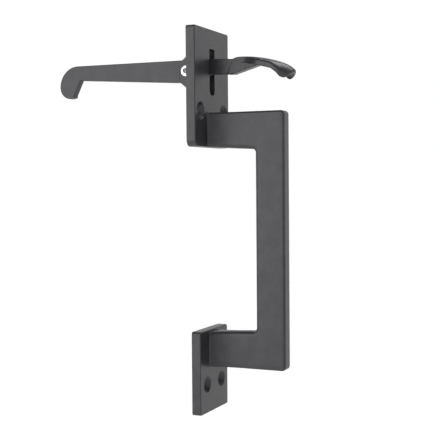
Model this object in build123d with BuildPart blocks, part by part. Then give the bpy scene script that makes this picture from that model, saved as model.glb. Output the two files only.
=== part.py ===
from build123d import *
import math
import os

# Thumb latch for a stair gate: two fixing plates joined by a D-shaped pull, and a thumb lever that
# rocks on a pin behind the upper plate. Millimetres. +X is to the right of someone facing the gate,
# -Y points out towards that person, +Z is up. The gate's face is the plane Y = 0, and the origin is
# midway between the two upper screw holes on that plane.

# ---- fixing plates
PLATE_THICK = 6.0
UPPER_WIDTH = 50.8
UPPER_TOP = 52.1
UPPER_BOTTOM = -22.3
UPPER_TOP_RADIUS = 1.5
UPPER_BOTTOM_RADIUS = 4.2
LOWER_WIDTH = 41.4
LOWER_TOP = -137.6
LOWER_BOTTOM = -190.1
LOWER_RADIUS = 1.6
PLATE_EDGE = 0.6

# ---- screw holes
UPPER_SCREW_X = 17.45
UPPER_SCREW_RADIUS = 3.0
UPPER_SINK_RADIUS = 5.7
LOWER_SCREW_X = 10.65
LOWER_SCREW_Z = -171.9
LOWER_SCREW_RADIUS = 2.7
LOWER_SINK_RADIUS = 5.2
SINK_ANGLE = 82

# ---- slot that the lever's neck passes through
SLOT_WIDTH = 7.6
SLOT_TOP = 39.7
SLOT_BOTTOM = 10.5
SLOT_TOP_RADIUS = 0.8
SLOT_BOTTOM_RADIUS = 3.2

# ---- D pull
GRIP_WIDTH = 9.5
GRIP_INNER = 36.6
GRIP_OUTER = 56.1
ARM_TOP = -0.5
ARM_BOTTOM_AT_PLATE = -22.3
ARM_BOTTOM_AT_GRIP = -23.9
LOW_ARM_TOP_AT_PLATE = -139.1
LOW_ARM_TOP_AT_GRIP = -137.7
LOW_ARM_BOTTOM = -161.4
PULL_OUTER_CORNER = 2.6
PULL_INNER_CORNER = 2.4
PULL_OUTER_EDGE = 1.5
PULL_INNER_EDGE = 2.6
ARM_ROOT_WIDTH = 16.0
FLARE_LENGTH = 18.0

# ---- pivot behind the upper plate
PIVOT_Y = 8.3
PIVOT_Z = 26.1
EAR_INNER_X = 2.9
EAR_THICK = 5.0
EAR_REACH = 13.7
EAR_TIP_HALF = 5.8
EAR_BASE_HALF = 14.0
EAR_SLOPE = 0.8
EAR_MID_Z = 25.4
EAR_CORNER = 1.5
EAR_CHAMFER = 0.5
PIN_RADIUS = 1.75
PIN_CLEARANCE = 0.05
PIN_HEAD_RADIUS = 3.0
PIN_HEAD_THICK = 1.4
PIN_TAIL = 2.3
CLIP_THICK = 0.8
CLIP_SLACK = 0.05
CLIP_OUTER = 3.2
CLIP_INNER = 1.9
CLIP_MOUTH = 2.2
CLIP_PRONG = 1.1
GROOVE_RADIUS = 1.3

# ---- lever bar
LEVER_THICK = 5.0
LEVER_EDGE = 0.5
JOINT_TOP = (-21.5, 32.6)
JOINT_BOTTOM = (-17.5, 23.3)
NECK_TOP = 33.6
NECK_BOTTOM = 23.9
NECK_END_Y = -6.0
BELLY_Y = 2.0
BELLY_Z = 18.9
TAIL_ROOT = (14.0, 19.4)
TAIL_END = (90.4, 24.6)
TAIL_TOP = 34.3
HOOK_END_Y = 106.4
HOOK_OUTER_RADIUS = 13.8
HOOK_TIP_RADIUS = 7.8
HOOK_TIP_TURN = 115.0
HOOK_HEEL = (95.4, 14.6)

# ---- thumb piece
PAD_WIDTH = 16.0
PAD_THICK = 3.8
PAD_CROWN = 1.8
PAD_ROOT = (-21.5, 32.6)
PAD_RISE_ANGLE = 26.8
PAD_RISE_RADIUS = 10.0
PAD_BEND_ANGLE = 22.2
PAD_BEND_RADIUS = 81.0
PAD_DROP_ANGLE = 26.4
PAD_DROP_RADIUS = 12.0
PAD_END = 3.0
PAD_EDGE = 0.8
PAD_FULL_WIDTH_Y = -42.0
PAD_CORNER_Y = -57.0
PAD_CORNER_RADIUS = 5.0
WEB_THICK = 6.4
WEB_BELLY = (-22.0, 23.2)
WEB_END = (-42.0, 29.6)
WEB_TOP = (-34.0, 32.8)

os.makedirs("parts", exist_ok=True)

front = Plane.XZ.offset(PLATE_THICK)


def rounded_plate(width, top, bottom, top_radius, bottom_radius):
    """A plate's outline, with one radius for its top corners and another for its bottom ones."""
    with BuildSketch() as outline:
        with Locations((0, (top + bottom) / 2)):
            Rectangle(width, top - bottom)
        fillet(outline.vertices().group_by(Axis.Y)[-1], top_radius)
        fillet(outline.vertices().group_by(Axis.Y)[0], bottom_radius)
    return outline.sketch


# ---- upper plate, with the lever's slot and two countersunk holes
with BuildPart() as upper_plate:
    with BuildSketch(Plane.XZ):
        add(rounded_plate(UPPER_WIDTH, UPPER_TOP, UPPER_BOTTOM, UPPER_TOP_RADIUS, UPPER_BOTTOM_RADIUS))
    extrude(amount=PLATE_THICK)
    fillet(upper_plate.faces().sort_by(Axis.Y)[0].outer_wire().edges(), PLATE_EDGE)
    with BuildSketch(front) as slot:
        with Locations((0, (SLOT_TOP + SLOT_BOTTOM) / 2)):
            Rectangle(SLOT_WIDTH, SLOT_TOP - SLOT_BOTTOM)
        fillet(slot.vertices().group_by(Axis.Y)[-1], SLOT_TOP_RADIUS)
        fillet(slot.vertices().group_by(Axis.Y)[0], SLOT_BOTTOM_RADIUS)
    extrude(amount=-PLATE_THICK, mode=Mode.SUBTRACT)
    with Locations(front):
        with Locations((-UPPER_SCREW_X, 0), (UPPER_SCREW_X, 0)):
            CounterSinkHole(UPPER_SCREW_RADIUS, UPPER_SINK_RADIUS, counter_sink_angle=SINK_ANGLE)
upper_plate.part.label = "upper_plate"

# ---- lower plate, with two countersunk holes below the arm
with BuildPart() as lower_plate:
    with BuildSketch(Plane.XZ):
        add(rounded_plate(LOWER_WIDTH, LOWER_TOP, LOWER_BOTTOM, LOWER_RADIUS, LOWER_RADIUS))
    extrude(amount=PLATE_THICK)
    fillet(lower_plate.faces().sort_by(Axis.Y)[0].outer_wire().edges(), PLATE_EDGE)
    with Locations(front):
        with Locations((-LOWER_SCREW_X, LOWER_SCREW_Z), (LOWER_SCREW_X, LOWER_SCREW_Z)):
            CounterSinkHole(LOWER_SCREW_RADIUS, LOWER_SINK_RADIUS, counter_sink_angle=SINK_ANGLE)
lower_plate.part.label = "lower_plate"


def on_the_outside(edge):
    """True for an edge on the D's outer outline, and false for one round the hand's gap."""
    middle = edge.center()
    arm_middle = (ARM_TOP + ARM_BOTTOM_AT_PLATE) / 2
    low_arm_middle = (LOW_ARM_TOP_AT_PLATE + LOW_ARM_BOTTOM) / 2
    beyond_grip = middle.Y < -(GRIP_INNER + GRIP_OUTER) / 2
    return beyond_grip or middle.Z > arm_middle or middle.Z < low_arm_middle


# ---- D pull: its side view carried across X, kept only where its plan view allows
flare_rise = (ARM_ROOT_WIDTH - GRIP_WIDTH) / 2
flare_angle = 2 * math.atan(flare_rise / FLARE_LENGTH)
flare_radius = FLARE_LENGTH / math.sin(flare_angle)
flare_start = (-math.sin(flare_angle), -math.cos(flare_angle))

with BuildPart() as pull_handle:
    with BuildSketch(Plane.YZ) as side_view:
        with BuildLine():
            outer = FilletPolyline(
                (-PLATE_THICK, ARM_TOP),
                (-GRIP_OUTER, ARM_TOP),
                (-GRIP_OUTER, LOW_ARM_BOTTOM),
                (-PLATE_THICK, LOW_ARM_BOTTOM),
                radius=PULL_OUTER_CORNER,
            )
            inner = FilletPolyline(
                (-PLATE_THICK, LOW_ARM_TOP_AT_PLATE),
                (-GRIP_INNER, LOW_ARM_TOP_AT_GRIP),
                (-GRIP_INNER, ARM_BOTTOM_AT_GRIP),
                (-PLATE_THICK, ARM_BOTTOM_AT_PLATE),
                radius=PULL_INNER_CORNER,
            )
            Line(outer @ 1, inner @ 0)
            Line(inner @ 1, outer @ 0)
        make_face()
    extrude(amount=ARM_ROOT_WIDTH / 2, both=True)
    with BuildSketch(Plane.XY.offset(LOW_ARM_BOTTOM)) as plan_view:
        with BuildLine():
            root = (ARM_ROOT_WIDTH / 2, -PLATE_THICK)
            flare = JernArc(root, flare_start, flare_radius, math.degrees(flare_angle))
            Polyline(
                flare @ 1,
                (GRIP_WIDTH / 2, -GRIP_OUTER),
                (0, -GRIP_OUTER),
                (0, -PLATE_THICK),
                root,
            )
        make_face()
        mirror(about=Plane.YZ)
    extrude(amount=ARM_TOP - LOW_ARM_BOTTOM, mode=Mode.INTERSECT)
    side_edges = pull_handle.edges().filter_by(lambda e: abs(e.center().X) > GRIP_WIDTH / 2 - 0.1)
    side_edges = side_edges.filter_by(lambda e: e.center().Y < -PLATE_THICK - 0.1)
    outer_edges = side_edges.filter_by(on_the_outside)
    inner_edges = side_edges.filter_by(lambda e: not on_the_outside(e))
    fillet(outer_edges, PULL_OUTER_EDGE)
    fillet(inner_edges, PULL_INNER_EDGE)
pull_handle.part.label = "pull_handle"

# ---- pivot ears on the back of the upper plate, one each side of the slot
ear_shoulder = EAR_REACH - (EAR_BASE_HALF - EAR_TIP_HALF) / EAR_SLOPE
ear_outer_x = EAR_INNER_X + EAR_THICK
pivot = (PIVOT_Y, PIVOT_Z)


def pivot_ear(inner_x):
    """An ear from X = inner_x outwards: wide on the plate, tapered to its end, bored for the pin."""
    with BuildPart() as ear:
        with BuildSketch(Plane.YZ.offset(inner_x)) as ear_side:
            with BuildLine():
                Polyline(
                    (0, EAR_MID_Z - EAR_BASE_HALF),
                    (ear_shoulder, EAR_MID_Z - EAR_BASE_HALF),
                    (EAR_REACH, EAR_MID_Z - EAR_TIP_HALF),
                    (EAR_REACH, EAR_MID_Z + EAR_TIP_HALF),
                    (ear_shoulder, EAR_MID_Z + EAR_BASE_HALF),
                    (0, EAR_MID_Z + EAR_BASE_HALF),
                    close=True,
                )
            make_face()
            fillet(ear_side.vertices().group_by(Axis.X)[-1], EAR_CORNER)
            fillet(ear_side.vertices().group_by(Axis.X)[1], EAR_CORNER)
            with Locations(pivot):
                Circle(PIN_RADIUS + PIN_CLEARANCE, mode=Mode.SUBTRACT)
        extrude(amount=EAR_THICK)
        outer_rims = ear.edges().filter_by(lambda e: e.center().Y > 0.1)
        rims = outer_rims.filter_by(GeomType.CIRCLE, reverse=True).filter_by(Axis.X, reverse=True)
        chamfer(rims, EAR_CHAMFER)
    return ear.part


left_ear = pivot_ear(-ear_outer_x)
left_ear.label = "left_ear"
right_ear = pivot_ear(EAR_INNER_X)
right_ear.label = "right_ear"

# ---- headed pin through both ears, grooved at its left end for the clip
with BuildPart() as pivot_pin:
    with BuildSketch(Plane.YZ.offset(ear_outer_x)):
        with Locations(pivot):
            Circle(PIN_HEAD_RADIUS)
    extrude(amount=PIN_HEAD_THICK)
    fillet(pivot_pin.edges().sort_by(Axis.X)[-1], PIN_HEAD_THICK / 3)
    with BuildSketch(Plane.YZ.offset(ear_outer_x)):
        with Locations(pivot):
            Circle(PIN_RADIUS)
    extrude(amount=-2 * ear_outer_x - PIN_TAIL)
    chamfer(pivot_pin.edges().sort_by(Axis.X)[0], PIN_RADIUS / 5)
    with BuildSketch(Plane.YZ.offset(-ear_outer_x)):
        with Locations(pivot):
            Circle(2 * PIN_RADIUS)
            Circle(GROOVE_RADIUS, mode=Mode.SUBTRACT)
    extrude(amount=-CLIP_THICK - CLIP_SLACK, mode=Mode.SUBTRACT)
pivot_pin.part.label = "pivot_pin"

# ---- open ring that snaps into the pin's groove, with three prongs and its mouth towards the plate
with BuildPart() as retaining_clip:
    with BuildSketch(Plane.YZ.offset(-ear_outer_x)):
        with Locations(pivot):
            Circle(CLIP_OUTER)
            Circle(CLIP_INNER, mode=Mode.SUBTRACT)
            with PolarLocations(0, 3, start_angle=0):
                with Locations(((GROOVE_RADIUS + CLIP_INNER) / 2 + CLIP_SLACK, 0)):
                    Rectangle(CLIP_INNER - GROOVE_RADIUS + CLIP_SLACK, CLIP_PRONG)
            with Locations((-CLIP_OUTER, 0)):
                Rectangle(CLIP_OUTER, CLIP_MOUTH, mode=Mode.SUBTRACT)
    extrude(amount=-CLIP_THICK)
retaining_clip.part.label = "retaining_clip"

# ---- lever bar: hooked tail behind the gate, bored boss between the ears, neck out through the slot
with BuildPart() as lever_bar:
    with BuildSketch(Plane.YZ) as bar_side:
        with BuildLine():
            hook_top = (HOOK_END_Y - HOOK_OUTER_RADIUS, TAIL_TOP)
            top_line = Polyline(JOINT_BOTTOM, JOINT_TOP, (NECK_END_Y, NECK_TOP), hook_top)
            hook_back = JernArc(top_line @ 1, (1, 0), HOOK_OUTER_RADIUS, -90)
            hook_tip = JernArc(hook_back @ 1, (0, -1), HOOK_TIP_RADIUS, -HOOK_TIP_TURN)
            Polyline(
                hook_tip @ 1,
                HOOK_HEEL,
                TAIL_END,
                TAIL_ROOT,
                (BELLY_Y, BELLY_Z),
                (NECK_END_Y, NECK_BOTTOM),
                JOINT_BOTTOM,
            )
        make_face()
        with Locations(pivot):
            Circle(PIN_RADIUS + PIN_CLEARANCE, mode=Mode.SUBTRACT)
    extrude(amount=LEVER_THICK / 2, both=True)
    bar_flanks = lever_bar.faces().filter_by(Axis.X)
    bar_rims = [edge for flank in bar_flanks for edge in flank.outer_wire().edges()]
    fillet([edge for edge in bar_rims if edge.center().Y > JOINT_BOTTOM[0]], LEVER_EDGE)
lever_bar.part.label = "lever_bar"

# ---- thumb piece: a crowned pad that humps and curves down, on a web that carries on from the neck
rise_angle = math.radians(PAD_RISE_ANGLE)
rise_start = (-math.cos(rise_angle), math.sin(rise_angle))
joint_normal = (0, JOINT_BOTTOM[1] - JOINT_TOP[1], JOINT_TOP[0] - JOINT_BOTTOM[0])
joint_face = Plane(origin=(0, *JOINT_BOTTOM), x_dir=(1, 0, 0), z_dir=joint_normal)

with BuildPart() as thumb_piece:
    with BuildLine(Plane.YZ) as pad_path:
        rise = JernArc(PAD_ROOT, rise_start, PAD_RISE_RADIUS, PAD_RISE_ANGLE)
        bend = JernArc(rise @ 1, rise % 1, PAD_BEND_RADIUS, PAD_BEND_ANGLE)
        drop = JernArc(bend @ 1, bend % 1, PAD_DROP_RADIUS, PAD_DROP_ANGLE)
        Line(drop @ 1, drop @ 1 + PAD_END * (drop % 1))
    pad_start = Plane(origin=pad_path.line @ 0, x_dir=(1, 0, 0), z_dir=pad_path.line % 0)
    with BuildSketch(pad_start):
        with BuildLine():
            half = PAD_WIDTH / 2
            crown = ThreePointArc((-half, -PAD_CROWN), (0, 0), (half, -PAD_CROWN))
            low_edge = -PAD_CROWN - PAD_THICK
            hollow = ThreePointArc((-half, low_edge), (0, -PAD_THICK), (half, low_edge))
            Line(crown @ 0, hollow @ 0)
            Line(crown @ 1, hollow @ 1)
        make_face()
    sweep(path=pad_path.line)
    with BuildSketch() as pad_plan:
        with BuildLine() as pad_outline:
            flare = Spline(
                (WEB_THICK / 2, PAD_ROOT[0] + 2),
                (half, PAD_FULL_WIDTH_Y),
                tangents=((0, -1), (0, -1)),
            )
            pad_side = Line(flare @ 1, (half, PAD_CORNER_Y))
            corner = JernArc(pad_side @ 1, (0, -1), PAD_CORNER_RADIUS, -90)
            Line(corner @ 1, (0, PAD_CORNER_Y - PAD_CORNER_RADIUS))
            Line(flare @ 0, (0, PAD_ROOT[0] + 2))
            mirror(about=Plane.YZ)
        make_face()
    extrude(amount=TAIL_TOP + PAD_THICK, mode=Mode.INTERSECT)
    pad_rim = thumb_piece.edges().filter_by(lambda e: e.center().Y < PAD_ROOT[0])
    fillet(pad_rim.filter_by(GeomType.LINE, reverse=True), PAD_EDGE)
    with BuildSketch(Plane.YZ):
        with BuildLine():
            Polyline(JOINT_BOTTOM, WEB_BELLY, WEB_END, WEB_TOP, JOINT_TOP, close=True)
        make_face()
    extrude(amount=WEB_THICK / 2, both=True)
    split(bisect_by=joint_face, keep=Keep.TOP)
thumb_piece.part.label = "thumb_piece"

pieces = [piece.part for piece in (upper_plate, lower_plate, pull_handle, pivot_pin)]
pieces += [piece.part for piece in (retaining_clip, lever_bar, thumb_piece)]
for piece in pieces + [left_ear, right_ear]:
    export_step(piece, f"parts/{piece.label}.step")
    print(piece.label, piece.volume, piece.bounding_box())
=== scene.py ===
"""Looks for a stair gate's thumb latch: satin black powder coat, a cast D pull, a thumb piece and a zinc clip."""

import math

import bpy
import numpy as np
from bpy.props import FloatProperty, FloatVectorProperty, PointerProperty
from mathutils import Matrix, Vector


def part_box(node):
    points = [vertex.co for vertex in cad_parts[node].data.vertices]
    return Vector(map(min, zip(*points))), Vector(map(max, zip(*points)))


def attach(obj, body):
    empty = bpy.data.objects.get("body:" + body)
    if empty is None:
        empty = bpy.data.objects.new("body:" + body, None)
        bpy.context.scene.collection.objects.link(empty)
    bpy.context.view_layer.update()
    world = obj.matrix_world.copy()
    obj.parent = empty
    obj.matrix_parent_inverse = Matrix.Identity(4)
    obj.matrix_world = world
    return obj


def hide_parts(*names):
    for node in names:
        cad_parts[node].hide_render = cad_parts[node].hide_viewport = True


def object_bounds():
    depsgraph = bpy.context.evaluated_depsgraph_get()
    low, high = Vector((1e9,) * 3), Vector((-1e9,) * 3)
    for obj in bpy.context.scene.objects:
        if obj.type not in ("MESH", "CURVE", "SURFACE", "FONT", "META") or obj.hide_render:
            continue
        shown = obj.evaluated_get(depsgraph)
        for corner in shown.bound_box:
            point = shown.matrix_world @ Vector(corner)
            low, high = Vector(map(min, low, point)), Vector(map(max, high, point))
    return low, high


bl_info = {
    "name": "Stair gate latch",
    "version": (1, 0, 0),
    "blender": (4, 5, 0),
    "location": "3D View > Sidebar > Gate Latch",
    "description": "Builds the cast pull, the thumb piece, the finishes and the studio round a packed gate latch",
    "category": "Object",
}

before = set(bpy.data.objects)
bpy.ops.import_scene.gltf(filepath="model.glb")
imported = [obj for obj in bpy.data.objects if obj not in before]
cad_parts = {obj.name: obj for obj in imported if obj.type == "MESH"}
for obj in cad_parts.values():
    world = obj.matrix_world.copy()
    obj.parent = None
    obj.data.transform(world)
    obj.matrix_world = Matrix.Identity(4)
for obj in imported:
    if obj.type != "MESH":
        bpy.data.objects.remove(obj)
CAD_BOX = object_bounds()

MM = 0.001
FINE = 0.12 * MM
FIXED_BODY = "handle_set"
LEVER_BODY = "lever"
COATED_NODES = ("upper_plate", "lower_plate", "left_ear", "right_ear", "lever_bar")
CLIP_NODE = "retaining_clip"
PIN_NODE = "pivot_pin"

PLATE_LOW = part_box("upper_plate")[0]
PULL_LOW, PULL_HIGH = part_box("pull_handle")
BAR_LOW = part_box("lever_bar")[0]
THUMB_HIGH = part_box("thumb_piece")[1]

# the thumb piece's guides: heights of its joint with the neck, two points (Y, Z) on the web's lower edge, and the
# arcs over the top as degrees turned, radius and number of points
JOINT_TOP_Z = 32.7 * MM
JOINT_BOTTOM_Z = 23.3 * MM
WEB_BELLY = (-22.0 * MM, 23.2 * MM)
WEB_END = (-42.0 * MM, 29.0 * MM)
THUMB_ARCS = ((27.4, 10.0 * MM, 20), (21.0, 80.0 * MM, 60), (25.2, 20.0 * MM, 34))
# at the joint the pad starts at a share of its thickness, and over this length it reaches all of it
JOINT_THICKNESS = 0.35
THICKENING_LENGTH = 10 * MM
# how far below the pad the web's lower edge is when it takes over from the pad's underside
WEB_TAKEOVER = 0.8 * MM

# numbers of points: on the pull's quarter circles, along its arms, across its flanks and half its palm
PULL_QUARTER = 9
ARM_POINTS = 30
FLANK_POINTS = 8
PALM_POINTS = 4
# and on the thumb piece's quarter circles, along its tip, across half its pad, down its web and under it
THUMB_QUARTER = 8
TIP_POINTS = 24
PAD_POINTS = 13
WEB_POINTS = 4
FOOT_POINTS = 5

# the camera looks between the two faces of the latch, very slightly down; angles in degrees
CAMERA_PLACE = (-0.5666, -0.2664, -0.0448)
CAMERA_HEADING = 24.29
CAMERA_PITCH = -2.17
CAMERA_ROLL = -0.46

FLOOR_REACH = 60.0
FLOOR_GLOW = 0.6
# heights of a direction, from 0 level to 1 straight up, between which the walls give way to the ceiling
WALL_TOP = 0.35
CEILING_EDGE = 0.8
# soft boxes as name, place, target, width, height and watts
SOFT_BOXES = (
    ("soft_box_left", (-1.0, 0.55, 0.1), (0.0, 0.0, -0.05), 0.9, 1.0, 7.0),
    ("soft_box_over", (0.12, -0.12, 0.45), (0.0, -0.04, 0.02), 0.3, 0.25, 1.5),
)


# ------------------------------------------------------------------ sizes and colours


class PullSizes(bpy.types.PropertyGroup):
    """Sizes of the D pull."""

    grip_width: FloatProperty(
        name="Grip width",
        description="Width of the grip and of the arms, seen from the front",
        default=9.5 * MM,
        min=1 * MM,
        unit="LENGTH",
    )
    grip_depth: FloatProperty(
        name="Grip depth",
        description="Depth of the grip, seen from the side",
        default=19.5 * MM,
        min=1 * MM,
        unit="LENGTH",
    )
    top_arm_root: FloatProperty(
        name="Upper arm at its root",
        description="Height of the upper arm where it leaves the plate",
        default=21.8 * MM,
        min=1 * MM,
        unit="LENGTH",
    )
    top_arm_end: FloatProperty(
        name="Upper arm at the grip",
        description="Height of the upper arm where it meets the grip",
        default=23.4 * MM,
        min=1 * MM,
        unit="LENGTH",
    )
    low_arm_root: FloatProperty(
        name="Lower arm at its root",
        description="Height of the lower arm where it leaves the plate",
        default=22.3 * MM,
        min=1 * MM,
        unit="LENGTH",
    )
    low_arm_end: FloatProperty(
        name="Lower arm at the grip",
        description="Height of the lower arm where it meets the grip",
        default=23.7 * MM,
        min=1 * MM,
        unit="LENGTH",
    )
    outer_corner: FloatProperty(
        name="Outer corner",
        description="Radius of the D's outer corners, seen from the side",
        default=2.6 * MM,
        min=0.5 * MM,
        unit="LENGTH",
    )
    inner_corner: FloatProperty(
        name="Inner corner",
        description="Radius of the corners of the hand's gap",
        default=2.4 * MM,
        min=0.5 * MM,
        unit="LENGTH",
    )
    outer_edge: FloatProperty(
        name="Outer edge",
        description="Rounding along the outer edges",
        default=1.5 * MM,
        min=0.2 * MM,
        unit="LENGTH",
    )
    inner_edge: FloatProperty(
        name="Inner edge",
        description="Rounding along the edges round the hand's gap",
        default=2.6 * MM,
        min=0.2 * MM,
        unit="LENGTH",
    )
    flare_length: FloatProperty(
        name="Flare length",
        description="How far from the plate an arm starts to widen",
        default=18 * MM,
        min=1 * MM,
        unit="LENGTH",
    )
    root_fillet: FloatProperty(
        name="Root fillet",
        description="Radius of the hollow fillet where an arm meets its plate",
        default=1.2 * MM,
        min=0.1 * MM,
        unit="LENGTH",
    )


class ThumbSizes(bpy.types.PropertyGroup):
    """Sizes of the thumb piece."""

    pad_thick: FloatProperty(
        name="Pad thickness",
        description="Thickness of the curved pad",
        default=3.8 * MM,
        min=0.5 * MM,
        unit="LENGTH",
    )
    hump_crown: FloatProperty(
        name="Crown on the hump",
        description="How much higher the pad's middle is than its sides on the hump",
        default=1.8 * MM,
        min=0.0,
        unit="LENGTH",
    )
    tip_crown: FloatProperty(
        name="Crown at the tip",
        description="How much higher the pad's middle is than its sides at the tip, for a tip of full width",
        default=7.3 * MM,
        min=0.0,
        unit="LENGTH",
    )
    crown_start: FloatProperty(
        name="Crown start",
        description="How far along the pad its middle starts to rise above its sides",
        default=26.4 * MM,
        min=0.0,
        unit="LENGTH",
    )
    rim: FloatProperty(
        name="Rim rounding",
        description="Rounding of the pad's rim",
        default=1.1 * MM,
        min=0.1 * MM,
        unit="LENGTH",
    )
    web_width: FloatProperty(
        name="Web width",
        description="Width of the web under the pad",
        default=6.4 * MM,
        min=1 * MM,
        unit="LENGTH",
    )
    widening_start: FloatProperty(
        name="Widening start",
        description="How far along the pad it starts to spread from the neck",
        default=7 * MM,
        min=0.0,
        unit="LENGTH",
    )
    widening: FloatProperty(
        name="Widening length",
        description="Length over which the pad spreads from the neck to its full width",
        default=15.4 * MM,
        min=1 * MM,
        unit="LENGTH",
    )
    tip_round: FloatProperty(
        name="Tip rounding",
        description="Length of the rounded corners at the pad's tip",
        default=14 * MM,
        min=1 * MM,
        unit="LENGTH",
    )
    tip_inset: FloatProperty(
        name="Tip inset",
        description="How far the rounded corners come in from each side at the tip",
        default=3.1 * MM,
        min=0.5 * MM,
        unit="LENGTH",
    )
    tip_straight: FloatProperty(
        name="Tip straight",
        description="Length of the straight stretch at the tip",
        default=0.6 * MM,
        min=0.5 * MM,
        unit="LENGTH",
    )
    web_length: FloatProperty(
        name="Web length",
        description="How far along the pad the web runs out",
        default=24 * MM,
        min=1 * MM,
        unit="LENGTH",
    )
    web_fillet: FloatProperty(
        name="Web fillet",
        description="Radius of the hollow fillet between the web and the pad",
        default=1 * MM,
        min=0.2 * MM,
        unit="LENGTH",
    )
    joint_groove: FloatProperty(
        name="Joint groove",
        description="Depth and width of the rounded groove where the thumb piece meets the neck",
        default=0.6 * MM,
        min=0.1 * MM,
        unit="LENGTH",
    )
    web_edge: FloatProperty(
        name="Web edge",
        description="Rounding of the web's lower edges",
        default=0.8 * MM,
        min=0.1 * MM,
        unit="LENGTH",
    )


class FinishLooks(bpy.types.PropertyGroup):
    """Colours and gloss of the finishes."""

    coat_colour: FloatVectorProperty(
        name="Powder coat",
        description="Colour of the satin powder coat",
        default=(0.016, 0.016, 0.019),
        min=0.0,
        max=1.0,
        size=3,
        subtype="COLOR",
    )
    coat_light_colour: FloatVectorProperty(
        name="Powder coat, light patches",
        description="Colour of the powder coat where its mottle is lightest",
        default=(0.024, 0.024, 0.028),
        min=0.0,
        max=1.0,
        size=3,
        subtype="COLOR",
    )
    coat_roughness: FloatProperty(
        name="Coat roughness",
        description="Mean roughness of the powder coat",
        default=0.38,
        min=0.05,
        max=1.0,
        subtype="FACTOR",
    )
    zinc_colour: FloatVectorProperty(
        name="Zinc",
        description="Colour of the bright zinc plating",
        default=(0.82, 0.83, 0.85),
        min=0.0,
        max=1.0,
        size=3,
        subtype="COLOR",
    )
    steel_colour: FloatVectorProperty(
        name="Blackened steel",
        description="Colour of the blackened pivot pin",
        default=(0.07, 0.07, 0.073),
        min=0.0,
        max=1.0,
        size=3,
        subtype="COLOR",
    )


class StageLooks(bpy.types.PropertyGroup):
    """Camera and studio."""

    lens: FloatProperty(
        name="Lens",
        description="Focal length of the camera's lens in millimetres",
        default=80.1,
        min=10.0,
    )
    floor_drop: FloatProperty(
        name="Floor drop",
        description="How far below the latch the floor is",
        default=0.35,
        min=0.0,
        unit="LENGTH",
    )
    surround: FloatProperty(
        name="Surround",
        description="Brightness of the studio's walls",
        default=1.02,
        min=0.0,
    )
    ceiling: FloatProperty(
        name="Ceiling",
        description="Brightness of the studio's ceiling",
        default=0.15,
        min=0.0,
    )


# ------------------------------------------------------------------ surfaces


def straight(start, end, count):
    """Points evenly spaced on the straight line from start to end, both included."""
    share = np.linspace(0.0, 1.0, count)[:, None]
    return np.asarray(start) + share * (np.asarray(end) - np.asarray(start))


def arc(centre, radius, first, last, count):
    """Points at an even angle on a circle, centre + radius * (cos a, sin a), a in degrees."""
    angle = np.radians(np.linspace(first, last, count))
    return np.asarray(centre) + radius * np.stack([np.cos(angle), np.sin(angle)], 1)


def chain(*runs):
    """Runs of points end to end, each run's first point dropped where the last run ended on it."""
    return np.concatenate([runs[0]] + [run[1:] for run in runs[1:]])


def path_length(guide):
    """Distance travelled along a guide up to each of its points."""
    return np.concatenate([[0.0], np.cumsum(np.linalg.norm(np.diff(guide, axis=0), axis=1))])


def smooth_step(value):
    """3v^2 - 2v^3 of a value held between 0 and 1."""
    held = np.clip(value, 0.0, 1.0)
    return held * held * (3 - 2 * held)


def mirrored_loop(half):
    """A closed profile from its right half, rings x points x 3: the half, then its mirror image in X backwards."""
    left = half[:, -2:0:-1] * np.array([-1.0, 1.0, 1.0])
    return np.concatenate([half, left], axis=1)


def tube(name, rings, material, slot, body, *nodes, sharp=35.0):
    """A closed tube through rings of points (rings x points x 3), a fan of triangles on each end, faces outward."""
    count, around = rings.shape[:2]
    ends = np.stack([rings[0].mean(0), rings[-1].mean(0)])
    points = np.concatenate([rings.reshape(-1, 3), ends])
    ring = np.arange(count - 1)[:, None] * around
    here = np.arange(around)[None, :]
    after = (here + 1) % around
    quads = np.stack([ring + here, ring + after, ring + around + after, ring + around + here], -1)
    quads = quads.reshape(-1, 4)
    here, after = here[0], after[0]
    last = (count - 1) * around
    first_fan = np.stack([after, here, np.full(around, count * around)], -1)
    last_fan = np.stack([last + here, last + after, np.full(around, count * around + 1)], -1)
    fans = np.concatenate([first_fan, last_fan])
    solid = np.concatenate([quads[:, [0, 1, 2]], quads[:, [0, 2, 3]], fans])
    corner = points[solid]
    volume = np.einsum("ij,ij->i", corner[:, 0], np.cross(corner[:, 1], corner[:, 2])).sum()
    if volume < 0:
        quads, fans = quads[:, ::-1], fans[:, ::-1]
    mesh = bpy.data.meshes.new(name)
    mesh.from_pydata(points.tolist(), [], quads.tolist() + fans.tolist())
    if mesh.validate():
        raise RuntimeError(f"{name} has faces that cannot be used")
    mesh.shade_smooth()
    mesh.set_sharp_from_angle(angle=math.radians(sharp))
    mesh.materials.append(material)
    piece = bpy.data.objects.new(name, mesh)
    bpy.context.scene.collection.objects.link(piece)
    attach(piece, body)
    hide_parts(*nodes)
    return piece


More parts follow.
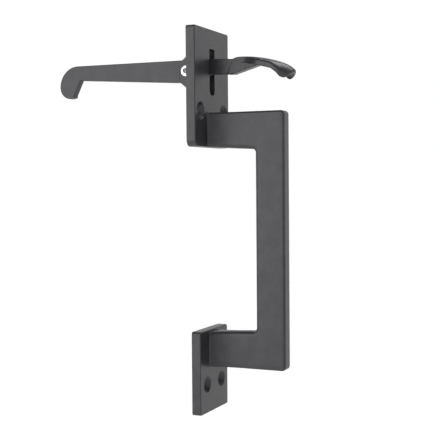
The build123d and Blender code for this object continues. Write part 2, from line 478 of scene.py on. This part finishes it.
def pull_guides(sizes):
    """The D pull's outer and inner guides in the plane X = 0, from the upper plate round to the lower plate.

    They run side by side with the same number of points, so that each pair carries one profile. The points nearest a
    plate are spaced for the root's fillet.
    """
    front = PLATE_LOW.y
    out, top, bottom = PULL_LOW.y, PULL_HIGH.z, PULL_LOW.z
    gap = out + sizes.grip_depth
    bend, turn = sizes.outer_corner, sizes.inner_corner
    root = sizes.root_fillet
    top_root, top_end = top - sizes.top_arm_root, top - sizes.top_arm_end
    low_root, low_end = bottom + sizes.low_arm_root, bottom + sizes.low_arm_end
    # quarter circle of the root's fillet, as steps away from the plate
    sweep = np.linspace(0.0, math.pi / 2, PULL_QUARTER)
    off_plate = front - root * (1 - np.cos(sweep))
    arm_steps = np.concatenate([off_plate, np.linspace(off_plate[-1], gap + turn, ARM_POINTS)[1:]])
    share = (arm_steps - front) / (gap + turn - front)
    upper_outer = np.stack([arm_steps, np.full_like(arm_steps, top)], 1)
    upper_inner = np.stack([arm_steps, top_root + share * (top_end - top_root)], 1)
    lower_outer = np.stack([arm_steps, np.full_like(arm_steps, bottom)], 1)[::-1]
    lower_inner = np.stack([arm_steps, low_root + share * (low_end - low_root)], 1)[::-1]
    # numbers of points on a corner's straight shoulders, on its arc, and on the grip's straight
    fan, bow, run = 12, 9, 40
    top_turn, low_turn = upper_inner[-1, 1] - turn, lower_inner[0, 1] + turn
    inner = chain(
        upper_inner,
        arc((gap + turn, top_turn), turn, 90, 180, 2 * fan + bow - 2),
        straight((gap, top_turn), (gap, low_turn), run),
        arc((gap + turn, low_turn), turn, 180, 270, 2 * fan + bow - 2),
        lower_inner,
    )
    outer = chain(
        upper_outer,
        straight((gap + turn, top), (out + bend, top), fan),
        arc((out + bend, top - bend), bend, 90, 180, bow),
        straight((out, top - bend), (out, top_turn), fan),
        straight((out, top_turn), (out, low_turn), run),
        straight((out, low_turn), (out, bottom + bend), fan),
        arc((out + bend, bottom + bend), bend, 180, 270, bow),
        straight((out + bend, bottom), (gap + turn, bottom), fan),
        lower_outer,
    )
    return outer, inner


def into_metal(guide, side):
    """Unit normals of a guide in its own plane, turned to the given side of its direction of travel."""
    along = np.gradient(guide, axis=0)
    along /= np.linalg.norm(along, axis=1, keepdims=True)
    return side * np.stack([-along[:, 1], along[:, 0]], 1)


def pull_surface(sizes):
    """Rings of the D pull between its two guides, each ring a rounded rectangle in X and across the guides.

    Across X, a point leaves the outer guide, turns through the outer edge's quarter circle, crosses the flank and
    turns through the inner edge's quarter circle to the inner guide. Near a plate the half width grows as a circle
    tangent to the arm. The root's fillet swells the flanks and the outer guide by a quarter circle, and leaves the
    inner guide where it is.
    """
    outer, inner = pull_guides(sizes)
    to_metal, from_gap = into_metal(outer, 1), into_metal(inner, -1)
    depth = PLATE_LOW.y - outer[:, 0]
    root = sizes.root_fillet
    swell = root - np.sqrt(np.clip(root**2 - np.clip(root - depth, 0, root) ** 2, 0, None))
    rise = PULL_HIGH.x - sizes.grip_width / 2
    radius = (sizes.flare_length**2 + rise**2) / (2 * rise)
    reach = np.clip(sizes.flare_length - depth, 0, None)
    half = sizes.grip_width / 2 + radius - np.sqrt(radius**2 - reach**2) + swell
    outer = outer - to_metal * swell[:, None]
    out_r = (sizes.outer_edge + swell)[:, None]
    in_r = np.full_like(out_r, sizes.inner_edge)
    turn = np.linspace(0.0, math.pi / 2, PULL_QUARTER)[None, :]
    half = half[:, None]

    def place(x, guide, normal, inwards):
        flat = guide[:, None, :] + normal[:, None, :] * np.broadcast_to(inwards, x.shape)[..., None]
        return np.concatenate([x[..., None], flat], -1)

    middle = np.linspace(0.0, 1.0, PALM_POINTS)[None, :-1]
    back = place(middle * (half - out_r), outer, to_metal, 0.0)
    outer_turn = place(half - out_r * (1 - np.sin(turn)), outer, to_metal, out_r * (1 - np.cos(turn)))
    inner_turn = place(half - in_r * (1 - np.cos(turn)), inner, from_gap, in_r * (1 - np.sin(turn)))
    share = np.linspace(0.0, 1.0, FLANK_POINTS)[None, 1:-1, None]
    flank = outer_turn[:, -1:] + share * (inner_turn[:, :1] - outer_turn[:, -1:])
    palm = place((1 - middle[:, 1:]) * (half - in_r), inner, from_gap, 0.0)
    centre = place(np.zeros_like(half), inner, from_gap, 0.0)
    return mirrored_loop(np.concatenate([back, outer_turn, flank, inner_turn, palm, centre], axis=1))


def thumb_guides(sizes):
    """The thumb piece's two guides in the plane X = 0, one over the pad's middle and one along its underside.

    Over the top, three arcs and a short straight: up from the neck, over the hump, then down at the tip. Underneath,
    a level stretch from the joint, a straight climb that is the web's lower edge, and the pad's own underside.
    """
    joint_top = np.array([BAR_LOW.y, JOINT_TOP_Z])
    joint_bottom = np.array([THUMB_HIGH.y, JOINT_BOTTOM_Z])
    belly, meets = np.array(WEB_BELLY), np.array(WEB_END)
    heading = 180.0 - THUMB_ARCS[0][0]
    runs, place = [], joint_top
    for angle, radius, count in THUMB_ARCS:
        inwards = math.radians(heading + 90)
        centre = place + radius * np.array([math.cos(inwards), math.sin(inwards)])
        runs.append(arc(centre, radius, heading - 90, heading - 90 + angle, count))
        place, heading = runs[-1][-1], heading + angle
    ahead = np.array([math.cos(math.radians(heading)), math.sin(math.radians(heading))])
    # the last stretch is packed towards the tip, where the rim turns over
    steps = sizes.tip_straight * np.sin(np.linspace(0.0, math.pi / 2, TIP_POINTS))
    runs.append(place + steps[:, None] * ahead)
    over = chain(*runs)
    normal = into_metal(over, 1)
    travel = path_length(over)
    level, climb = np.linalg.norm(belly - joint_bottom), np.linalg.norm(meets - belly)
    where = travel / sizes.web_length * (level + climb)
    web = joint_bottom + (belly - joint_bottom) * np.clip(where / level, 0, 1)[:, None]
    web = web + (meets - belly) * np.clip((where - level) / climb, 0, 1)[:, None]
    thickening = smooth_step(travel / THICKENING_LENGTH)
    thick = sizes.pad_thick * (JOINT_THICKNESS + (1 - JOINT_THICKNESS) * thickening)
    under = over + normal * thick[:, None]
    depth_web = np.einsum("ij,ij->i", web - over, normal)
    weight = np.where(where < level + climb, smooth_step((depth_web - sizes.pad_thick) / WEB_TAKEOVER), 0.0)
    return over, normal, under + (web - under) * weight[:, None], thick, travel


def thumb_surface(sizes):
    """Rings of the thumb piece: in each, a crowned pad with a rounded rim over a web with a filleted root.

    Half widths are a smooth step from the web's to the pad's, and at the tip the corner is a quarter ellipse. The
    pad drops from its middle as the square of X, the more the nearer the tip, where it is like the back of a spoon.
    At the very tip the thickness closes by the rim's quarter circle.
    """
    over, normal, lower, thick, travel = thumb_guides(sizes)
    depth = np.linalg.norm(lower - over, axis=1)
    down = (lower - over) / depth[:, None]
    thick = thick / np.einsum("ij,ij->i", down, normal)
    full, web = THUMB_HIGH.x, sizes.web_width / 2
    left = travel[-1] - travel
    into_tip = np.clip(1 - left / sizes.tip_round, 0, 1)
    half = web + (full - web) * smooth_step((travel - sizes.widening_start) / sizes.widening)
    half = half - sizes.tip_inset * (1 - np.sqrt(1 - into_tip**2))
    at_joint = np.clip(1 - travel / sizes.joint_groove, 0, 1)
    half = half - sizes.joint_groove * (1 - np.sqrt(1 - at_joint**2))
    spread = smooth_step((half - web) / (sizes.rim + sizes.web_fillet))
    rim = FINE + (sizes.rim - FINE) * spread
    hollow = FINE + (sizes.web_fillet - FINE) * spread
    web = np.minimum(web, half - rim - hollow - FINE / 5)
    close = np.clip(1 - left / sizes.rim, 0, 1)
    shut = sizes.rim * (1 - np.sqrt(1 - close**2))
    spare = np.clip(depth - thick, 0, None)
    hollow_high = np.minimum(hollow, spare / 2)
    foot = np.full_like(web, sizes.web_edge)
    foot_high = np.minimum(foot, spare / 2)
    turn = np.linspace(0.0, math.pi / 2, THUMB_QUARTER)[None, :]
    columns = (half, rim, hollow, web, hollow_high, foot, foot_high, thick, depth, shut)
    half, rim, hollow, web, hollow_high, foot, foot_high, thick, depth, shut = (c[:, None] for c in columns)
    even = np.linspace(0.0, 1.0, PAD_POINTS)[None, :-1]
    inner = web - foot
    x = (
        even * (half - rim),
        half - rim * (1 - np.sin(turn)),
        half - rim * (1 - np.cos(turn)),
        half - rim + even[:, 1:] * (web + hollow - half + rim),
        web + hollow * (1 - np.sin(turn)),
        web + 0 * even[:, :WEB_POINTS],
        web - foot * (1 - np.cos(turn)),
        inner * (1 - np.linspace(0.0, 1.0, FOOT_POINTS)[None, 1:]),
    )
    side_top, side_bottom = thick + hollow_high, np.maximum(depth, thick) - foot_high
    m = (
        0 * x[0],
        rim * (1 - np.cos(turn)),
        thick - rim * (1 - np.sin(turn)),
        thick + 0 * x[3],
        thick + hollow_high * (1 - np.cos(turn)),
        side_top + np.linspace(0.0, 1.0, WEB_POINTS + 2)[None, 1:-1] * (side_bottom - side_top),
        side_bottom + foot_high * np.sin(turn),
        side_bottom + foot_high + 0 * x[7],
    )
    x, m = np.concatenate(x, 1), np.concatenate(m, 1)
    rise = smooth_step((travel - sizes.crown_start) / (travel[-1] - sizes.crown_start))
    crown = sizes.hump_crown + (sizes.tip_crown - sizes.hump_crown) * rise
    drop = crown[:, None] * (x / full) ** 2
    sunk = drop + shut + m * (1 - 2 * shut / np.maximum(depth, thick))
    flat = over[:, None, :] + down[:, None, :] * sunk[..., None]
    return mirrored_loop(np.concatenate([x[..., None], flat], -1))


# ------------------------------------------------------------------ finishes


class FinishNodes:
    """A material's node tree with short calls to add and join nodes."""

    def __init__(self, name):
        self.material = bpy.data.materials.new(name)
        self.material.use_nodes = True
        self.tree = self.material.node_tree
        self.tree.nodes.clear()
        self.shader = self.add("ShaderNodeBsdfPrincipled")
        output = self.add("ShaderNodeOutputMaterial")
        self.join(self.shader.outputs["BSDF"], output.inputs["Surface"])
        self.place = self.add("ShaderNodeTexCoord").outputs["Object"]

    def add(self, kind, **values):
        """A new node, its named inputs set to values."""
        node = self.tree.nodes.new(kind)
        for key, value in values.items():
            node.inputs[key].default_value = value
        return node

    def join(self, source, target):
        """A link from an output to an input."""
        self.tree.links.new(source, target)

    def noise(self, scale, detail=2.0, rough=0.5, stretch=(1.0, 1.0, 1.0)):
        """Noise on Object coordinates, scale in waves a metre, stretched by a Mapping node."""
        mapping = self.add("ShaderNodeMapping", Scale=stretch)
        self.join(self.place, mapping.inputs["Vector"])
        noise = self.add("ShaderNodeTexNoise", Scale=scale, Detail=detail, Roughness=rough)
        self.join(mapping.outputs["Vector"], noise.inputs["Vector"])
        return noise.outputs["Fac"]

    def ramp(self, source, low, high, start=0.35, end=0.65):
        """A linear spread of a 0 to 1 output from low to high between start and end."""
        spread = self.add("ShaderNodeMapRange", **{"From Min": start, "From Max": end, "To Min": low, "To Max": high})
        self.join(source, spread.inputs["Value"])
        return spread.outputs["Result"]

    def blend(self, source, low, high):
        """A colour between low and high, by a 0 to 1 output."""
        mix = self.tree.nodes.new("ShaderNodeMix")
        mix.data_type = "RGBA"
        mix.inputs["A"].default_value = (*low, 1.0)
        mix.inputs["B"].default_value = (*high, 1.0)
        self.join(source, mix.inputs["Factor"])
        return mix.outputs["Result"]

    def bump(self, height, strength, distance, under=None):
        """A bump of that height in metres, over another bump if one is given."""
        node = self.add("ShaderNodeBump", Strength=strength, Distance=distance)
        self.join(height, node.inputs["Height"])
        if under is not None:
            self.join(under, node.inputs["Normal"])
        return node.outputs["Normal"]


def powder_coat(looks):
    """Satin black powder coat: a fine pebbled skin over a faint wider ripple, with a soft mottle in its colour."""
    coat = FinishNodes("satin_black_powder_coat")
    mottle = coat.noise(140.0, detail=3.0, rough=0.6)
    grain = coat.noise(2600.0, detail=2.0)
    ripple = coat.noise(620.0, detail=1.5)
    colour = coat.blend(coat.ramp(mottle, 0.0, 1.0), looks.coat_colour, looks.coat_light_colour)
    coat.join(colour, coat.shader.inputs["Base Color"])
    low, high = looks.coat_roughness - 0.05, looks.coat_roughness + 0.05
    coat.join(coat.ramp(grain, low, high), coat.shader.inputs["Roughness"])
    coat.shader.inputs["Specular IOR Level"].default_value = 0.4
    rippled = coat.bump(ripple, 0.25, 0.10 * MM)
    coat.join(coat.bump(grain, 0.35, 0.05 * MM, under=rippled), coat.shader.inputs["Normal"])
    return coat.material


def bright_zinc(looks):
    """Bright zinc plate: metal with fine drawn lines along the pin and a cloudy gloss."""
    zinc = FinishNodes("bright_zinc_plate")
    zinc.shader.inputs["Metallic"].default_value = 1.0
    cloud = zinc.noise(900.0, detail=2.0)
    lines = zinc.noise(2400.0, stretch=(0.15, 1.0, 1.0))
    paler = [min(1.0, 1.1 * part) for part in looks.zinc_colour]
    colour = zinc.blend(zinc.ramp(cloud, 0.0, 1.0), looks.zinc_colour, paler)
    zinc.join(colour, zinc.shader.inputs["Base Color"])
    zinc.join(zinc.ramp(cloud, 0.22, 0.36), zinc.shader.inputs["Roughness"])
    zinc.join(zinc.bump(lines, 0.2, 0.02 * MM), zinc.shader.inputs["Normal"])
    return zinc.material


def dark_steel(looks):
    """Blackened steel: nearly black metal, a little patchy where the blacking is thinner."""
    steel = FinishNodes("blackened_steel")
    steel.shader.inputs["Metallic"].default_value = 1.0
    patches = steel.noise(700.0, detail=3.0)
    lighter = [1.6 * part for part in looks.steel_colour]
    colour = steel.blend(steel.ramp(patches, 0.0, 1.0), looks.steel_colour, lighter)
    steel.join(colour, steel.shader.inputs["Base Color"])
    steel.join(steel.ramp(patches, 0.4, 0.3), steel.shader.inputs["Roughness"])
    steel.join(steel.bump(patches, 0.2, 0.03 * MM), steel.shader.inputs["Normal"])
    return steel.material


def pale_floor():
    """Matt white paint on the studio's floor, faintly uneven, with an even glow so that it meets the walls unseen."""
    paint = FinishNodes("pale_floor_paint")
    patches = paint.noise(3.0, detail=2.0)
    paint.join(paint.blend(patches, (0.86, 0.86, 0.86), (0.9, 0.9, 0.9)), paint.shader.inputs["Base Color"])
    paint.shader.inputs["Roughness"].default_value = 0.9
    paint.shader.inputs["Emission Color"].default_value = (1.0, 1.0, 1.0, 1.0)
    paint.shader.inputs["Emission Strength"].default_value = FLOOR_GLOW
    return paint.material


def finish(name, make):
    """The finish of that name, made once."""
    return bpy.data.materials.get(name) or make(bpy.context.scene.latch_finish)


def paint(name, material):
    """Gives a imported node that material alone."""
    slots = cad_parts[name].data.materials
    slots.clear()
    slots.append(material)


# ------------------------------------------------------------------ pieces


class LATCH_OT_coat(bpy.types.Operator):
    """Coat the plates, the ears and the lever bar"""

    bl_idname = "latch.coat"
    bl_label = "Coat Plates and Lever"

    def execute(self, context):
        coat = finish("satin_black_powder_coat", powder_coat)
        for name in COATED_NODES:
            paint(name, coat)
        return {"FINISHED"}


class LATCH_OT_fittings(bpy.types.Operator):
    """Blacken the pivot pin and plate its clip"""

    bl_idname = "latch.fittings"
    bl_label = "Finish Pin and Clip"

    def execute(self, context):
        paint(PIN_NODE, finish("blackened_steel", dark_steel))
        paint(CLIP_NODE, finish("bright_zinc_plate", bright_zinc))
        return {"FINISHED"}


class LATCH_OT_pull(bpy.types.Operator):
    """Build the D pull"""

    bl_idname = "latch.pull"
    bl_label = "Build Pull"

    def execute(self, context):
        coat = finish("satin_black_powder_coat", powder_coat)
        tube("cast_pull", pull_surface(context.scene.latch_pull), coat, "powder_coat", FIXED_BODY, "pull_handle")
        return {"FINISHED"}


class LATCH_OT_thumb(bpy.types.Operator):
    """Build the thumb piece"""

    bl_idname = "latch.thumb"
    bl_label = "Build Thumb Piece"

    def execute(self, context):
        coat = finish("satin_black_powder_coat", powder_coat)
        tube("cast_thumb", thumb_surface(context.scene.latch_thumb), coat, "powder_coat", LEVER_BODY, "thumb_piece")
        return {"FINISHED"}


# ------------------------------------------------------------------ studio


def area_light(name, place, target, width, height, power):
    """A soft box at a place, facing a target."""
    data = bpy.data.lights.new(name, "AREA")
    data.shape, data.size, data.size_y, data.energy = "RECTANGLE", width, height, power
    lamp = bpy.data.objects.new(name, data)
    lamp.location = place
    lamp.rotation_euler = (Vector(target) - Vector(place)).to_track_quat("-Z", "Y").to_euler()
    bpy.context.scene.collection.objects.link(lamp)


def surround(looks):
    """The studio's walls, equally bright all round, under a darker ceiling.

    The brightness is a smooth step of the direction's height, from the walls' to the ceiling's.
    """
    world = bpy.data.worlds.new("studio_surround")
    world.use_nodes = True
    tree = world.node_tree
    tree.nodes.clear()
    height = tree.nodes.new("ShaderNodeSeparateXYZ")
    tree.links.new(tree.nodes.new("ShaderNodeTexCoord").outputs["Generated"], height.inputs["Vector"])
    spread = tree.nodes.new("ShaderNodeMapRange")
    spread.interpolation_type = "SMOOTHSTEP"
    heights = {"From Min": WALL_TOP, "From Max": CEILING_EDGE}
    for key, number in {**heights, "To Min": looks.surround, "To Max": looks.ceiling}.items():
        spread.inputs[key].default_value = number
    tree.links.new(height.outputs["Z"], spread.inputs["Value"])
    light = tree.nodes.new("ShaderNodeBackground")
    light.inputs["Color"].default_value = (1.0, 1.0, 1.0, 1.0)
    tree.links.new(spread.outputs["Result"], light.inputs["Strength"])
    output = tree.nodes.new("ShaderNodeOutputWorld")
    tree.links.new(light.outputs["Background"], output.inputs["Surface"])
    bpy.context.scene.world = world


class LATCH_OT_stage(bpy.types.Operator):
    """Set the floor, the surround, the soft boxes and the camera"""

    bl_idname = "latch.stage"
    bl_label = "Set Stage"

    def execute(self, context):
        looks = context.scene.latch_stage
        level = CAD_BOX[0].z - looks.floor_drop
        mesh = bpy.data.meshes.new("floor")
        signs = ((-1, -1), (1, -1), (1, 1), (-1, 1))
        corners = [(x * FLOOR_REACH, y * FLOOR_REACH, level) for x, y in signs]
        mesh.from_pydata(corners, [], [(0, 1, 2, 3)])
        mesh.materials.append(pale_floor())
        floor = bpy.data.objects.new("floor", mesh)
        context.scene.collection.objects.link(floor)
        surround(looks)
        for soft_box in SOFT_BOXES:
            area_light(*soft_box)
        heading, pitch, roll = (math.radians(angle) for angle in (CAMERA_HEADING, CAMERA_PITCH, CAMERA_ROLL))
        ahead = Vector((math.cos(heading) * math.cos(pitch), math.sin(heading) * math.cos(pitch), math.sin(pitch)))
        right = Vector((math.sin(heading), -math.cos(heading), 0.0))
        up = right.cross(ahead)
        rolled_right = right * math.cos(roll) + up * math.sin(roll)
        rolled_up = up * math.cos(roll) - right * math.sin(roll)
        camera = bpy.data.objects.new("camera", bpy.data.cameras.new("camera"))
        camera.data.lens = looks.lens
        turn = Matrix((rolled_right, rolled_up, -ahead)).transposed().to_4x4()
        camera.matrix_world = Matrix.Translation(CAMERA_PLACE) @ turn
        context.scene.collection.objects.link(camera)
        context.scene.camera = camera
        context.scene.view_settings.view_transform = "Standard"
        return {"FINISHED"}


class LATCH_PT_panel(bpy.types.Panel):
    """The latch's sizes, looks and build buttons"""

    bl_idname = "LATCH_PT_panel"
    bl_label = "Gate Latch"
    bl_space_type = "VIEW_3D"
    bl_region_type = "UI"
    bl_category = "Gate Latch"

    def draw(self, context):
        layout = self.layout
        for group_name, kind in GROUPS.items():
            box = layout.box()
            for name in kind.__annotations__:
                box.prop(getattr(context.scene, group_name), name)
        for operator in OPERATORS:
            layout.operator(operator.bl_idname)


GROUPS = {
    "latch_pull": PullSizes,
    "latch_thumb": ThumbSizes,
    "latch_finish": FinishLooks,
    "latch_stage": StageLooks,
}
OPERATORS = (LATCH_OT_coat, LATCH_OT_fittings, LATCH_OT_pull, LATCH_OT_thumb, LATCH_OT_stage)


def register():
    """Adds the property groups, the operators and the panel."""
    for name, group in GROUPS.items():
        bpy.utils.register_class(group)
        setattr(bpy.types.Scene, name, PointerProperty(type=group))
    for kind in (*OPERATORS, LATCH_PT_panel):
        bpy.utils.register_class(kind)


def unregister():
    """Takes everything out again."""
    for kind in (LATCH_PT_panel, *reversed(OPERATORS)):
        bpy.utils.unregister_class(kind)
    for name, group in GROUPS.items():
        delattr(bpy.types.Scene, name)
        bpy.utils.unregister_class(group)


def main():
    """Builds the latch and its stage in order."""
    register()
    bpy.ops.latch.coat()
    bpy.ops.latch.fittings()
    bpy.ops.latch.pull()
    bpy.ops.latch.thumb()
    bpy.ops.latch.stage()


if __name__ == "__main__":
    main()
